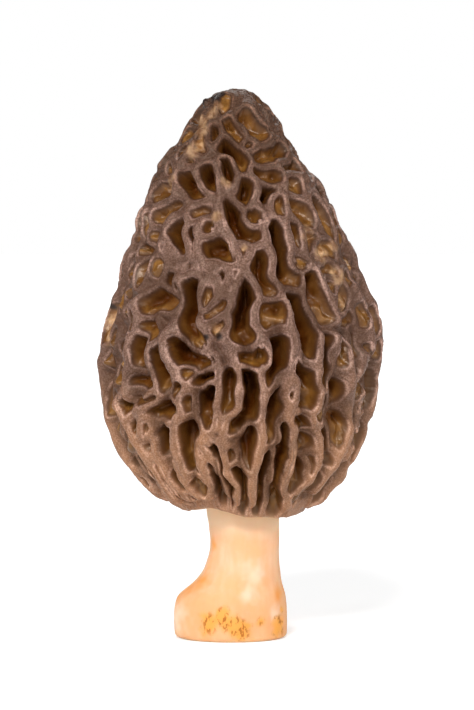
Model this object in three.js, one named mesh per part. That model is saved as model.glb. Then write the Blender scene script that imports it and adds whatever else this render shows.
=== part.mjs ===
// Morel mushroom: an egg-shaped, deeply pitted cap around the top of a pale stem, which is cut flat.
// Millimetres, +Z up. The cut foot is at height 0. Azimuth 0 faces -Y, and +90 faces +X.
import * as THREE from "three";

// Driving dimensions
const DEPTH_SHARE = 0.95;          // the cap's depth, front to back, as a share of its width
const SOCKET_RADIUS = 7.1;         // hollow under the cap that the stem has grown into
const SOCKET_TOP = 31.5;
const STEM_TOP = 31.2;
const STEM_DEPTH_BASE = 2.36;      // a stem ring's half depth is this plus a share of its width
const STEM_DEPTH_SHARE = 0.306;

// The cap's outline, [radius, height], from its tip down to its rim
const CAP_OUTLINE = [
  [0, 100], [3, 99.1], [7.2, 96], [11.2, 91.3], [14.8, 85], [17.9, 78.5], [20.8, 71.5], [23.4, 64],
  [25.3, 56], [26, 49], [25.3, 42.5], [23.3, 36.4], [20.2, 30.6], [16.2, 25.8], [12, 22.6],
];
// From the rim inwards, under the cap and up to the socket, [radius, height]
const CAP_UNDERSIDE = [[10.4, 22.5], [8.8, 23.4], [7.6, 24.9], [SOCKET_RADIUS, 26.4]];
// The cap's middle wanders a little to the sides, [sideways shift, height]
const CAP_MIDDLE = [[-1, 100], [-1.9, 90], [-0.5, 77], [0.3, 62], [-0.6, 42], [0.5, 24]];
const SOCKET_MIDDLE = 0.5;
// Broad swellings of the outline, [azimuth, height, size, amount]
const SWELLINGS = [[88, 56.5, 5, 0.8], [-85, 84, 4, 0.4], [85, 73, 3.5, 0.5], [-80, 93, 3, -0.7]];

// The stem, [height, left edge, right edge]: a straight neck on a foot that bulges to the left
const STEM_EDGES = [
  [0, -11, 7.6], [0.35, -11.7, 8.25], [1.2, -12, 8.5], [4.6, -12.1, 8.6], [7.2, -11.55, 8.35],
  [8.6, -10.3, 8], [10, -8.7, 7.6], [12, -6.9, 7.3], [14.5, -5.9, 7.1], [16.8, -5.5, 7.05],
  [20.5, -5.8, 7.05], [24, -6.1, 7.1], [STEM_TOP, -6.1, 7.1],
];

// Ridges and pits
const RIDGE_HALF = 0.75;           // half of the narrowest ridge between two pits
const PIT_EDGE = 0.15;             // a pit's edge lies this far outside its half width
const EDGE_ROUNDING = 0.7;         // the ridge begins to round down this far outside the pit
const WALL_RUN = 1.2;              // a pit reaches its full depth this far in from its edge, at most
const NARROWEST = 0.7;             // narrower pits are too fine for the cap's faces, and left out
const SAMPLE_SPREAD = 0.7;         // a corner of the cap's mesh takes the mean depth over this distance
const RIM_FADE = [22, 27];         // pits grow shallow towards the rim, over these heights
const RIM_SHARE = 0.35;            // share of a pit's depth that is left at the rim

// Pits of the front, from the tip down: [half width, depth, [azimuth, height], [azimuth, height], ...]
const FRONT_PITS = [
  [0.4, 0.7, [-18, 98], [-12, 96]],
  [1.1, 1.8, [19, 95], [23, 93.5], [33, 92], [39, 91.5]],
  [1.1, 2, [-2, 94], [5, 92.5], [8, 92]],
  [0.5, 2, [-16, 93], [-17, 91]],
  [0.8, 1.2, [-65, 92], [-62, 91.5]],
  [1, 1, [-29, 90.5], [-28, 89.5]],
  [1.2, 3, [-5, 90], [4, 88], [9, 86]],
  [0.5, 1, [20, 90], [20, 89.5]],
  [1.35, 2.2, [26, 88], [35, 88], [49, 89]],
  [0.8, 1.2, [-46, 89], [-45, 88]],
  [0.5, 2, [-36, 87], [-34, 87]],
  [0.8, 3.5, [-4, 87], [-2, 84.5], [-1, 83]],
  [0.8, 1.8, [45, 85.5], [58, 86]],
  [0.4, 0.8, [-54, 86], [-54, 85.5]],
  [0.8, 1.8, [18, 85], [25, 84], [33, 84.5]],
  [1.2, 2.8, [-20, 84.5], [-18, 82.5]],
  [1, 2.8, [-37, 84], [-30, 82.5], [-23, 80.5]],
  [1.2, 1.6, [46, 83.5], [44, 82]],
  [1.6, 3, [6, 82.5], [6, 81]],
  [1.2, 1.6, [-65, 81], [-52, 82]],
  [1, 3.8, [22, 81.5], [18, 79.5], [17, 78]],
  [0.9, 1.6, [26, 79.5], [25, 78.5]],
  [1.1, 1.8, [40, 79], [45, 76.5]],
  [1.2, 3.2, [-2, 79], [-2, 76.5], [0, 75], [2, 74], [8, 73.5]],
  [0.9, 2, [-21, 79], [-27, 77.5]],
  [1.15, 1.8, [-56, 77], [-46, 77.5], [-40, 78]],
  [1.1, 2.2, [16, 78], [9, 77]],
  [1.8, 3.2, [-37, 76], [-37, 73.5], [-36, 72.5], [-32, 71]],
  [1.1, 3.6, [21, 75.5], [21, 71], [20, 69], [19, 67], [26, 66]],
  [0.75, 2, [-26, 75], [-24, 70.5]],
  [0.9, 1.6, [-18, 75], [-18, 74.5]],
  [1.1, 1.8, [32, 74.5], [34, 72]],
  [0.7, 1.2, [-56, 74], [-56, 73.5]],
  [1.1, 1.8, [43, 73.5], [40, 71.5]],
  [0.3, 1.2, [89, 73.5], [88, 72]],
  [0.55, 2, [-42, 72], [-34, 70.5]],
  [0.35, 1.5, [-65, 71.5], [-57, 71.5]],
  [1.7, 2.6, [-16, 71.5], [-10, 71], [-8, 69.5]],
  [0.35, 0.8, [2, 71.5], [3, 70.5]],
  [1.2, 1.2, [48, 71], [55, 71]],
  [1.2, 2.8, [9, 70], [9, 68], [10, 65.5], [12, 64.5]],
  [0.3, 1.2, [42, 70], [44, 69]],
  [1, 1.2, [31, 69.5], [31, 69]],
  [0.7, 3.5, [-32, 69], [-26, 69], [-23, 69]],
  [0.5, 1.6, [-56, 68.5], [-58, 67.5], [-59, 65.5]],
  [0.7, 0.8, [-47, 68.5], [-47, 68]],
  [1.3, 1.5, [45, 67.5], [51, 68]],
  [1.1, 3, [-10, 68], [-9, 66.5], [-10, 65]],
  [0.8, 1.2, [-71, 67], [-70, 66.5]],
  [0.6, 1.4, [-4, 67], [-4, 66.5]],
  [0.95, 2.4, [36, 66.5], [36, 63], [39, 60.5], [40, 59.5]],
  [0.4, 1.2, [78, 66.5], [76, 65]],
  [0.7, 1.2, [63, 66], [62, 65.5]],
  [0.55, 2.4, [-37, 66], [-37, 65.5]],
  [0.8, 1.1, [48, 65.5], [47, 65]],
  [0.5, 2.4, [-34, 65], [-34, 64.5]],
  [1, 2.4, [-12, 65], [-15, 63.5], [-17, 62.5]],
  [0.5, 1.2, [-6, 65], [-6, 64.5]],
  [1.3, 3.4, [-26, 65], [-24, 62.5], [-24, 59.5], [-22, 57.5], [-18, 55]],
  [1.5, 4, [2, 64.5], [0, 62], [-1, 59.5], [-2, 57.5], [2, 55.5]],
  [0.45, 1, [-66, 64.5], [-69, 63]],
  [0.2, 1, [74, 64.5], [74, 62]],
  [1.3, 1.6, [56, 63], [54, 61]],
  [1.5, 2.6, [-48, 61.5], [-43, 62.5], [-36, 62.5]],
  [1.3, 4, [24, 62.5], [26, 59.5], [29, 57], [30, 54.5], [30, 52]],
  [0.8, 1.8, [-9, 62], [-12, 60.5], [-15, 59.5]],
  [0.7, 1.4, [-66, 60.5], [-62, 60.5]],
  [1.7, 1.8, [11, 59.5], [16, 60]],
  [0.3, 1.6, [-56, 59.5], [-54, 57]],
  [0.45, 1.4, [84, 59.5], [88, 57.5], [80, 55]],
  [1.6, 1.3, [-83, 59], [-86, 55.5]],
  [1, 1.8, [52, 58], [60, 58.5]],
  [0.9, 2, [-11, 57.5], [-8, 58]],
  [1.1, 1.8, [-46, 57.5], [-42, 56]],
  [0.2, 1, [51, 56.5], [54, 55.5]],
  [0.9, 2, [61, 56], [60, 53.5], [59, 52]],
  [1.2, 3.4, [16, 55], [16, 52.5], [16, 50.5], [14, 49], [14, 48]],
  [1.5, 2.4, [-47, 54.5], [-46, 52.5], [-46, 50.5]],
  [1.1, 3.4, [40, 54.5], [38, 52], [38, 49.5], [38, 48]],
  [1.2, 3.2, [-28, 54], [-24, 52], [-18, 51.5], [-14, 51]],
  [0.8, 1.8, [-61, 53.5], [-59, 50.5]],
  [1, 1.4, [47, 53.5], [47, 51.5]],
  [1, 2.8, [-38, 53], [-37, 51], [-34, 49.5], [-31, 47]],
  [1.1, 3, [2, 52.5], [6, 51.5], [9, 52.5]],
  [1.8, 2.8, [27, 50], [30, 48], [30, 44]],
  [0.9, 2.2, [-22, 49.5], [-21, 49.5]],
  [0.6, 1.2, [58, 49.5], [59, 49]],
  [1.25, 4, [4, 49], [6, 47], [6, 42], [2, 41], [-1, 39.5]],
  [0.7, 1.6, [-64, 49], [-63, 47]],
  [1.2, 4, [-15, 48], [-12, 48.5]],
  [1.2, 2.8, [-4, 48.5], [-3, 46], [-4, 43.5]],
  [0.8, 2.4, [21, 48], [22, 45.5]],
  [1.1, 3.8, [20, 48], [17, 46], [16, 44], [15, 41.5], [15, 39], [16, 37.5]],
  [1.2, 1.4, [62, 47.5], [62, 45.5]],
  [1.5, 2.8, [-47, 47], [-40, 47]],
  [1.2, 2.8, [46, 46.5], [47, 44.5], [48, 42.5]],
  [0.7, 2, [-26, 46.5], [-27, 45]],
  [1.3, 4, [-11, 46], [-13, 43.5], [-13, 41]],
  [0.7, 2.2, [-48, 44.5], [-42, 44], [-38, 44.5]],
  [0.7, 1.6, [-22, 44], [-22, 42.5]],
  [1.2, 1.8, [40, 43.5], [38, 41]],
  [1.3, 2.8, [-38, 41.5], [-33, 42], [-28, 43]],
  [0.9, 2, [-56, 43], [-51, 42]],
  [0.8, 1.8, [-49, 41], [-51, 38.5]],
  [0.35, 0.8, [-62, 41], [-61, 39]],
  [1.3, 2.6, [28, 40.5], [30, 39]],
  [1.3, 2.2, [50, 40.5], [54, 38.5], [54, 36.5]],
  [0.3, 0.8, [-42, 40], [-45, 38.5], [-46, 37]],
  [0.6, 1.4, [-73, 39], [-74, 37.5]],
  [0.95, 3.4, [21, 39], [22, 37], [23, 34.5], [22, 32], [21, 29], [22, 26.5], [25, 23]],
  [1.2, 3, [-22, 39], [-22, 37], [-24, 34.5], [-24, 32]],
  [1, 3, [-34, 38.5], [-36, 37], [-36, 35], [-36, 33]],
  [0.9, 2.4, [42, 38.5], [45, 36], [47, 33.5], [51, 31.5]],
  [0.8, 3, [6, 38], [5, 36], [4, 34.5], [4, 32]],
  [0.3, 0.9, [-60, 37.5], [-59, 35], [-55, 33], [-54, 30.5], [-54, 28]],
  [1.1, 1.8, [32, 36.5], [36, 34.5]],
  [0.6, 2.6, [-14, 36], [-11, 35], [-10, 32], [-10, 30], [-8, 28.5], [-6, 27.5], [-8, 25], [-8, 23]],
  [0.6, 1.2, [-46, 36], [-48, 33.5]],
  [0.6, 1.6, [-17, 35.5], [-17, 35]],
  [0.7, 1.4, [-4, 34], [-4, 33]],
  [0.35, 1.3, [38, 34], [40, 32.5], [41, 30.5]],
  [0.9, 3, [14, 33], [14, 30.5], [12, 27.5], [12, 23]],
  [0.65, 3.2, [-15, 32.5], [-14, 31], [-15, 28], [-14, 25.5], [-14, 23]],
  [0.35, 1, [-47, 33], [-46, 31], [-45, 28], [-46, 26], [-48, 23.6]],
  [0.35, 0.9, [61, 33], [62, 31], [62, 28.5], [62, 26.5]],
  [0.7, 1.8, [-63, 32], [-61, 30.5]],
  [0.8, 2, [-36, 31.5], [-36, 30], [-35, 28]],
  [1.2, 2.2, [35, 31], [34, 29], [32, 27.5]],
  [0.9, 2.8, [-3, 31], [0, 29.5], [1, 27.5], [-1, 23]],
  [0.7, 1.5, [39, 25], [42, 26], [46, 27], [49, 28.5], [49, 30]],
  [1, 1.6, [-28, 28.5], [-23, 28.5], [-25, 27]],
  [0.45, 1.3, [-34, 26.5], [-32, 25.5]],
];

// The sides and back grow their pits in uneven rows: [height, row length along the cap]
const BACK_ROWS = [
  [28, 7], [36, 8.5], [44.5, 8.5], [53, 8.5], [61, 7.5], [68.5, 7], [75.5, 6.5], [82, 6], [87.5, 5],
  [92, 4.5], [96, 3.5],
];
const BACK_FROM = 60;              // the rows begin at this azimuth on both sides
const HIGHEST = 98.5;              // their pits end below this height
const LOWEST = 23.4;               // and above this one
const STRAY = 0.5;                 // they stray along their row by this share of their spacing, all told
const STAGGER = 0.45;              // and across it by this share of its length
const SHORTEST = 0.3;              // their half length is at least this share of their kind's
const STRETCH = 0.5;               // and up to this much more
const BOW = 0.6;                   // and bow sideways by this share of their lean
const CLEARANCE = 1.3;             // least ridge between a row's pit and one that is already there
// Their spacing, length as a share of the row's, lean, and [least, spread] of half width and depth
const LARGE = { pitch: 5.2, length: 0.5, lean: 4, halfWidth: [0.75, 0.9], depth: [1.6, 2.4], seed: 100 };
const SMALL = { pitch: 2.2, length: 0.2, lean: 2, halfWidth: [0.5, 0.5], depth: [0.8, 0.8], seed: 5000 };
const SEEDS_PER_ROW = 100;
const CHANCE_STEP = 12.9898;       // the repeatable chance is a fast sine wave's fraction
const CHANCE_SCALE = 43758.5453;
const LINE_STEP = 2;               // longest straight piece of a pit's line
const REACH = 9;                   // pits farther away than this don't shape a point

// How finely the surfaces are divided
const CAP_RINGS = 52;
const CAP_SIDES = 106;
const STEM_RINGS = 20;
const STEM_SIDES = 36;
const CURVE_SAMPLES = 200;

const splineThrough = (pairs) => new THREE.SplineCurve(pairs.map(([x, y]) => new THREE.Vector2(x, y)));
const capCurve = splineThrough(CAP_OUTLINE);
const middleCurve = splineThrough(CAP_MIDDLE);
const capSamples = capCurve.getPoints(CURVE_SAMPLES);
const middleSamples = middleCurve.getPoints(CURVE_SAMPLES);

// The x of a list of points that runs downwards, at a height
function xAtHeight(points, height) {
  const below = points.findIndex((point) => point.y <= height);
  if (below === 0) return points[0].x;
  if (below < 0) return points[points.length - 1].x;
  const [upper, lower] = [points[below - 1], points[below]];
  return THREE.MathUtils.lerp(upper.x, lower.x, (upper.y - height) / (upper.y - lower.y));
}

// How far the swellings push the cap's outline out
function swelling(azimuth, radius, height) {
  return SWELLINGS.reduce((sum, [toAzimuth, toHeight, size, amount]) => {
    const around = radius * Math.sin(THREE.MathUtils.degToRad(azimuth - toAzimuth) / 2) * 2;
    return sum + amount * Math.exp(-(around ** 2 + (height - toHeight) ** 2) / size ** 2);
  }, 0);
}

// A point of the cap's smooth envelope
function envelope(azimuth, radius, height) {
  const angle = THREE.MathUtils.degToRad(azimuth);
  const middle = height < CAP_MIDDLE.at(-1)[1] ? SOCKET_MIDDLE : xAtHeight(middleSamples, height);
  const swollen = radius && radius + swelling(azimuth, radius, height);
  const sideways = middle + swollen * Math.sin(angle);
  return new THREE.Vector3(sideways, -DEPTH_SHARE * swollen * Math.cos(angle), height);
}

function onCap([azimuth, height]) {
  return envelope(azimuth, xAtHeight(capSamples, height), height);
}

// A repeatable number from 0 to 1
function chance(seed) {
  const value = Math.sin(seed * CHANCE_STEP) * CHANCE_SCALE;
  return value - Math.floor(value);
}

// A pit: a line along its floor, in short steps that follow the cap's curve
function makePit([halfWidth, depth, ...places]) {
  const points = [onCap(places[0])];
  for (let i = 1; i < places.length; i++) {
    const [from, to] = [places[i - 1], places[i]];
    const steps = Math.max(1, Math.ceil(onCap(from).distanceTo(onCap(to)) / LINE_STEP));
    for (let k = 1; k <= steps; k++) {
      const place = from.map((value, axis) => THREE.MathUtils.lerp(value, to[axis], k / steps));
      points.push(onCap(place));
    }
  }
  const ball = new THREE.Sphere().setFromPoints(points);
  const lines = points.slice(1).map((point, i) => new THREE.Line3(points[i], point));
  return { halfWidth, depth, points, lines, ball };
}

const nearest = new THREE.Vector3();

function distanceToPit(point, pit) {
  const gaps = pit.lines.map((line) => line.closestPointToPoint(point, true, nearest).distanceTo(point));
  return Math.min(...gaps);
}

// One pit of the sides and back, the i-th of the count that go around a row
function rowPit([rowHeight, rowLength], kind, seed, i, count) {
  const [turned, raised, stretched, leaned, bowed, widened, deepened] =
    Array.from({ length: 7 }, (_, k) => chance(seed + k / 10));
  const degreesPerMm = 180 / (Math.PI * xAtHeight(capSamples, rowHeight));
  const azimuth = ((i + 0.5 + STRAY * (turned - 0.5)) * 360) / count - 180;
  const height = rowHeight + STAGGER * rowLength * (raised - 0.5);
  const halfLength = rowLength * kind.length * (SHORTEST + STRETCH * stretched);
  const lean = kind.lean * (leaned - 0.5) * degreesPerMm;
  const bow = BOW * kind.lean * (bowed - 0.5) * degreesPerMm;
  const pit = makePit([
    kind.halfWidth[0] + kind.halfWidth[1] * widened,
    kind.depth[0] + kind.depth[1] * deepened,
    [azimuth + lean, Math.min(height + halfLength, HIGHEST)],
    [azimuth + bow, height],
    [azimuth - lean, Math.max(height - halfLength, LOWEST)],
  ]);
  return { ...pit, azimuth };
}

function isCrowded(pit, others) {
  return others.some((other) => {
    const room = other.halfWidth + pit.halfWidth + CLEARANCE;
    return pit.points.some((point) => distanceToPit(point, other) < room);
  });
}

// The pits of the sides and back that have room beside those already taken
function growPits(kind, taken) {
  const grown = [];
  for (const [row, size] of BACK_ROWS.entries()) {
    const count = Math.round((2 * Math.PI * xAtHeight(capSamples, size[0])) / kind.pitch);
    for (let i = 0; i < count; i++) {
      const pit = rowPit(size, kind, kind.seed + SEEDS_PER_ROW * row + i, i, count);
      const others = kind === SMALL ? [...taken, ...grown] : taken;
      if (Math.abs(pit.azimuth) > BACK_FROM && !isCrowded(pit, others)) grown.push(pit);
    }
  }
  return grown;
}

const frontPits = FRONT_PITS.map(makePit);
const largePits = [...frontPits, ...growPits(LARGE, frontPits)];
const smallPits = growPits(SMALL, largePits);
const workedPits = [...largePits, ...smallPits].filter((pit) => pit.halfWidth >= NARROWEST);

// How far the surface lies below the envelope. A ridge stands halfway between two neighbouring pits.
function pitDepth(point) {
  let owner = null;
  let first = Infinity;
  let second = Infinity;
  for (const pit of workedPits) {
    if (pit.ball.distanceToPoint(point) > REACH) continue;
    const gap = distanceToPit(point, pit) - pit.halfWidth;
    if (gap < first) {
      second = first;
      first = gap;
      owner = pit;
    } else if (gap < second) {
      second = gap;
    }
  }
  if (!owner) return 0;
  const inside = Math.min((second - first) / 2 - RIDGE_HALF, PIT_EDGE - first);
  const run = Math.min(owner.halfWidth, WALL_RUN);
  const share = THREE.MathUtils.smoothstep(inside, -EDGE_ROUNDING, run);
  const fade = THREE.MathUtils.smoothstep(point.z, ...RIM_FADE);
  return owner.depth * share * THREE.MathUtils.lerp(RIM_SHARE, 1, fade);
}

// Faces between a lathe's meridians. Each square is split along its shorter diagonal: edges follow ridges.
function ringFaces(position, rings, sides) {
  const corner = (index) => new THREE.Vector3().fromBufferAttribute(position, index);
  const faces = [];
  for (let side = 0; side < sides; side++) {
    for (let ring = 0; ring < rings - 1; ring++) {
      const a = side * rings + ring;
      const [b, c, d] = [a + rings, a + rings + 1, a + 1];
      const acrossFirst = corner(b).distanceTo(corner(d)) < corner(a).distanceTo(corner(c));
      faces.push(...(acrossFirst ? [a, b, d, c, d, b] : [a, b, c, a, c, d]));
    }
  }
  return faces;
}

// A closed lathe whose rings are then moved to where place(azimuth, ring) puts them
function shapedLathe(profile, sides, place) {
  const corners = profile.map(([radius, height]) => new THREE.Vector2(radius, height));
  const geometry = new THREE.LatheGeometry(corners, sides);
  const position = geometry.attributes.position;
  for (let side = 0; side <= sides; side++) {
    for (let ring = 0; ring < profile.length; ring++) {
      const point = place(((side % sides) * 360) / sides, ring);
      position.setXYZ(side * profile.length + ring, point.x, point.y, point.z);
    }
  }
  geometry.setIndex(ringFaces(position, profile.length, sides));
  geometry.computeVertexNormals();
  return geometry;
}

// The cap: the outline sunk along its own normal by the pits, then the underside and the socket
function capGeometry() {
  const outline = capCurve.getSpacedPoints(CAP_RINGS).map((point) => [point.x, point.y]).reverse();
  const hollow = [[0, SOCKET_TOP], [SOCKET_RADIUS, SOCKET_TOP], ...CAP_UNDERSIDE.toReversed()];
  const profile = [...hollow, ...outline];
  return shapedLathe(profile, CAP_SIDES, (azimuth, ring) => {
    const [radius, height] = profile[ring];
    const point = envelope(azimuth, radius, height);
    if (ring < hollow.length) {
      point.x += SOCKET_MIDDLE - envelope(0, radius, height).x;
      return point;
    }
    const [below, above] = [profile[ring - 1], profile[Math.min(ring + 1, profile.length - 1)]];
    const slope = new THREE.Vector2(above[1] - below[1], below[0] - above[0]).normalize();
    const angle = THREE.MathUtils.degToRad(azimuth);
    const outward = new THREE.Vector3(slope.x * Math.sin(angle), -slope.x * Math.cos(angle), slope.y);
    const around = new THREE.Vector3(Math.cos(angle), Math.sin(angle), 0).multiplyScalar(SAMPLE_SPREAD);
    const along = new THREE.Vector3().crossVectors(outward, around);
    const samples = [point.clone(), point.clone()];
    for (const side of [around, along, around.clone().negate(), along.clone().negate()]) {
      samples.push(point.clone().add(side));
    }
    const depth = samples.reduce((sum, sample) => sum + pitDepth(sample), 0) / samples.length;
    return point.addScaledVector(radius ? outward : new THREE.Vector3(0, 0, 1), -depth);
  });
}

// The stem: ovals between its left and right edges, on a flat cut end
function stemGeometry() {
  const edges = new THREE.CatmullRomCurve3(STEM_EDGES.map(([height, left, right]) =>
    new THREE.Vector3(left, right, height)), false, "centripetal");
  const rings = edges.getPoints(STEM_RINGS);
  const footMiddle = (rings[0].x + rings[0].y) / 2;
  rings.unshift(new THREE.Vector3(footMiddle, footMiddle, 0));
  rings.push(new THREE.Vector3(SOCKET_MIDDLE, SOCKET_MIDDLE, STEM_TOP));
  const profile = rings.map((ring) => [(ring.y - ring.x) / 2, ring.z]);
  return shapedLathe(profile, STEM_SIDES, (azimuth, ring) => {
    const [halfWidth, height] = profile[ring];
    const halfDepth = halfWidth ? STEM_DEPTH_BASE + STEM_DEPTH_SHARE * 2 * halfWidth : 0;
    const angle = THREE.MathUtils.degToRad(azimuth);
    const middle = (rings[ring].x + rings[ring].y) / 2;
    return new THREE.Vector3(middle + halfWidth * Math.sin(angle), -halfDepth * Math.cos(angle), height);
  });
}

const cap = new THREE.Mesh(
  capGeometry(),
  new THREE.MeshStandardMaterial({ color: 0x6e5344, roughness: 0.6, metalness: 0 }),
);
cap.name = "cap";

const stem = new THREE.Mesh(
  stemGeometry(),
  new THREE.MeshStandardMaterial({ color: 0xf4cfa0, roughness: 0.7, metalness: 0 }),
);
stem.name = "stem";

const group = new THREE.Group();
group.add(cap, stem);

export default group;
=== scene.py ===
"""Morel mushroom: the looks of its pitted cap and pale stem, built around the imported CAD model.

Shapes are worked out in millimetres, in the CAD model's frame, and stored in metres.
Azimuth 0 faces -Y, the front, and +90 faces +X. A length runs along the cap's outline, from its tip.
"""
import math

import bpy
import numpy as np
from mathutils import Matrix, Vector


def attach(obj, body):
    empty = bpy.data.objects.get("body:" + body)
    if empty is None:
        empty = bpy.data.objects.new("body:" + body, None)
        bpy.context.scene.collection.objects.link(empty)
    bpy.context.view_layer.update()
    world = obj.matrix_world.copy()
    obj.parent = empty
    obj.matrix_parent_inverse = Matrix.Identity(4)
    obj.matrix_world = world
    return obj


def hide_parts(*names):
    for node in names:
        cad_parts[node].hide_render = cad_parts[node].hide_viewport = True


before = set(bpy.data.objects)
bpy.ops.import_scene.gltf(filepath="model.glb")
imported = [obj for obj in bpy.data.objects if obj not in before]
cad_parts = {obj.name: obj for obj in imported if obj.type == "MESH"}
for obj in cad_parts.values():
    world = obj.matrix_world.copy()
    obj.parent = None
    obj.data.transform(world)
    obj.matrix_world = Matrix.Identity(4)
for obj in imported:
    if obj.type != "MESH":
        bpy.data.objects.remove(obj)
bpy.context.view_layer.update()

MM = 0.001

# ---- Driving dimensions, in millimetres ----

DEPTH_SHARE = 0.95         # the cap's depth, front to back, as a share of its width
SOCKET_RADIUS = 7.1        # hollow under the cap that the stem has grown into
SOCKET_TOP = 31.5
SOCKET_MIDDLE = 0.5
STEM_TOP = 31.2
STEM_DEPTH_BASE = 2.36     # a stem ring's half depth is this plus a share of its width
STEM_DEPTH_SHARE = 0.306

# The cap's outline, (radius, height), from its tip down to its rim
CAP_OUTLINE = [
    (0, 100), (3, 99.1), (7.2, 96), (11.2, 91.3), (14.8, 85), (17.9, 78.5), (20.8, 71.5), (23.4, 64),
    (25.3, 56), (26, 49), (25.3, 42.5), (23.3, 36.4), (20.2, 30.6), (16.2, 25.8), (12, 22.6),
]
# From the rim inwards, under the cap and up into the socket, (radius, height)
CAP_UNDERSIDE = [(10.4, 22.5), (8.8, 23.4), (7.6, 24.9), (SOCKET_RADIUS, 26.4)]
# The cap's middle wanders a little to the sides, (sideways shift, height)
CAP_MIDDLE = [(-1, 100), (-1.9, 90), (-0.5, 77), (0.3, 62), (-0.6, 42), (0.5, 24)]
# Broad swellings of the outline, (azimuth, height, size, amount)
SWELLINGS = [(88, 56.5, 5, 0.8), (-85, 84, 4, 0.4), (85, 73, 3.5, 0.5), (-80, 93, 3, -0.7)]
# How far the rim curls up or hangs down, (azimuth, amount)
RIM_LIFT = [
    (-180, 0.6), (-90, 1.1), (-60, 1.1), (-35, 2), (-15, 1.3), (0, 0.2), (15, 0.1), (40, -0.3), (75, 0.1),
    (120, 0.5), (180, 0.6),
]

# The stem, (height, left edge, right edge): a straight neck on a foot that bulges to the left
STEM_EDGES = [
    (0, -11, 7.6), (0.35, -11.7, 8.25), (1.2, -12, 8.5), (4.6, -12.1, 8.6), (7.2, -11.55, 8.35),
    (8.6, -10.3, 8), (10, -8.7, 7.6), (12, -6.9, 7.3), (14.5, -5.9, 7.1), (16.8, -5.5, 7.05),
    (20.5, -5.8, 7.05), (24, -6.1, 7.1), (STEM_TOP, -6.1, 7.1),
]

# Marks of the stem by kind: the share of a mark's size within which it is full, and the marks,
# (azimuth, height, size)
STEM_MARKS = {
    "bruise": (0.4, [
        (-22, 3.5, 2.2), (-8, 4.6, 1.8), (2, 3.2, 2.2), (12, 2.6, 2), (33, 3.7, 1.3), (60, 2.7, 2.1),
        (66, 5.4, 0.8), (128, 3.4, 2.2), (-142, 4.2, 2.6), (-112, 2.8, 1.6), (168, 5, 1.4),
    ]),
    "warm": (0, [
        (-68, 9, 2.8), (-60, 10.6, 2.4), (-80, 7.4, 2.6), (-62, 17, 1.2), (60, 8.4, 2.2), (110, 9, 4),
        (170, 8, 4),
    ]),
    "pale": (0, [(-70, 4, 4.2), (22, 12, 2.6), (16, 8.6, 2.6), (52, 5, 2), (-120, 6, 3.4), (140, 12, 3)]),
}

# Ridges and pits
RIDGE_HALF = 0.8           # half of the ridge that two pits leave between them, at least
RIDGE_CHANGE = 0.45        # it changes by this share from place to place
PIT_EDGE = 0.6             # where there is room, a pit reaches this far beyond its half width
EDGE_CHANGE = 0.4          # it changes by this share from place to place
UPPER_EDGE = 0.15          # and is wider by this share high on the cap,
UPPER_FROM = (58, 72)      # which is above these heights
EDGE_BLEND = 0.4           # the corners of the pits are rounded over this far
PIT_WARP = 0.32            # their outlines wander by this much
FINE_WARP = 0.5            # and by this share of it at half the size
ROUNDING = 1.4             # a ridge rounds down to a pit's edge over this far
ROUNDED = 0.95             # and sinks by this much on the way
WALL_LEAD = 0.2            # a pit's wall starts this far outside its edge
BOWL_RUN = 1.6             # a pit's wall curves into its floor this far in from its edge, at most
WALL_CURVE = 2.0           # how sharply the wall bends into the floor
PIT_DEEPENING = 1.6        # a pit is this many times as deep as its entry says
PIT_TILT = 0.5             # its upper end is deeper and its lower end shallower by this share
PIT_LUMPS = (0.12, 0.3)    # lumps of its floor, as a share of its depth and as a height
VEIN_HEIGHT = 0.4          # veins stand this far above its floor
VEIN_STRETCH = (0.6, 0.6, 1)   # they run more around the cap than up it
VEIN_WIDTH = 0.1           # the larger, the wider they are
LEAST_DEPTH = 0.3          # a pit's floor lies at least this far below its edge
LIP_REACH = 0.18           # how far a ridge's lip leans over the pit
LEAN_PLACE = (0.05, 0.4)   # the leaning skin's middle, measured into the pit, and its width
LEAST_STEEPNESS = 0.5      # of the way into a pit, where its direction is told
RIM_FADE = (21, 23.5)      # pits grow shallow towards the rim, over these heights
RIM_SHARE = 0.6            # share of a pit's depth that is left at the rim
TIP_FADE = (95, 99)        # the relief grows shallow towards the tip, over these heights
TIP_SHARE = 0.7            # and loses this share of its depth there
SCALLOP = 0.6              # the rim rises between the ribs by this share of the depth there

# The crests of the ridges
CREST_LEVEL = 0.2          # they lie this far below the outline
BROAD_WAVES = 0.9          # and wave by this much in broad waves
MIDDLING_WAVES = 0.3       # by this much in middling ones
SMALL_WAVES = 0.2          # and by this much in small ones
HIGHEST_CREST = 0.1        # no crest rises further than this above the outline
VALLEY = 0.4               # a wide ridge is hollow by this much along its middle
VALLEY_FOLDS = 0.9         # and folded there by this much
WIDE_RIDGE = (0.75, 1.5)   # it is a wide one so far outside its pits
CLEAR_OF_RIB = (0.4, 1.5)  # and so far from a rib
LIP_RISE = 0.2             # its lips stand this far above it
LIP_PLACE = (-0.45, 0.25)  # their middle, measured into the pit, and their width
SADDLE_LEVEL = (0.55, 1)   # a ridge is low where the way from pit to pit across it is so steep,
SADDLE_REACH = (3.5, 0)    # most of all halfway, where the gaps to both differ least
SADDLE_ROUNDS = 24         # the low places between two pits are evened out this many times
SPOKE_DEPTH = 1.1          # grooves run down from the tip, this deep
SPOKE_CIRCLE = 3           # the larger, the more of them there are
SPOKE_WANDER = 0.12        # the larger, the more they wander on their way down
SPOKE_WIDTH = 0.22         # the larger, the wider they are
SPOKE_FADE = (88, 95)      # they fade away between these heights
TUFT_RISE = 0.8            # withered flesh stands out by this much
TUFT_FROM = (94, 96)       # but only above these heights

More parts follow.
